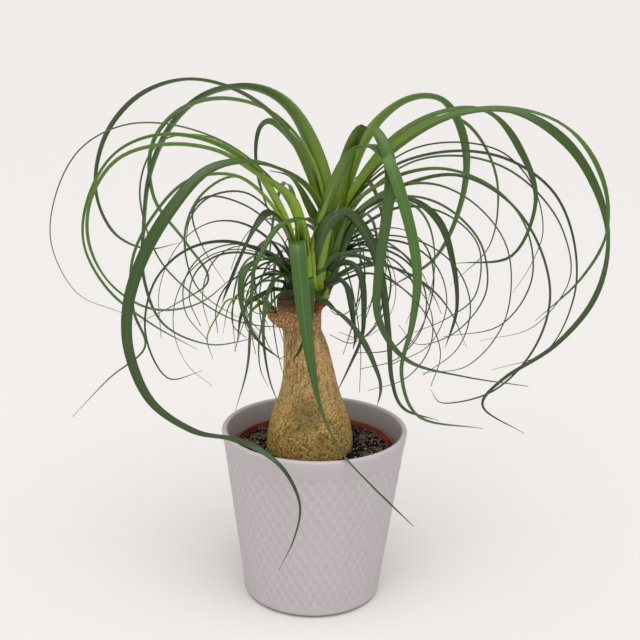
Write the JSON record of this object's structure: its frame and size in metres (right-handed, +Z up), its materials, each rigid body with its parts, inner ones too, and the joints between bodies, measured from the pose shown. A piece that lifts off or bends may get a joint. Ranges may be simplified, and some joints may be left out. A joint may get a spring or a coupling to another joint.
{
  "type": "potted ponytail palm",
  "caption": "Potted ponytail palm: a swollen corky trunk with heads of long arching strap leaves, in a plastic nursery pot inside a flared ceramic cover pot with lozenge relief.",
  "frame": {"origin": "middle of the cover pot's underside, on the surface it stands on", "axes": "+Z up, +X to the side of the fuller crown, +Y to the back"},
  "size_m": [0.4359, 0.2524, 0.4142],
  "materials": {
    "matt_ceramic": "matte",
    "terracotta_plastic": "satin",
    "potting_mix": "matte",
    "cork_bark": "matte",
    "leaf": "satin",
    "young_leaf": "satin"
  },
  "bodies": {
    "root": {"cover_pot": "matt_ceramic", "nursery_pot": "terracotta_plastic", "potting_soil": "potting_mix", "trunk": "cork_bark", "crown_left": "leaf", "crown_right": "leaf", "side_shoot": "young_leaf"}
  },
  "joints": []
}
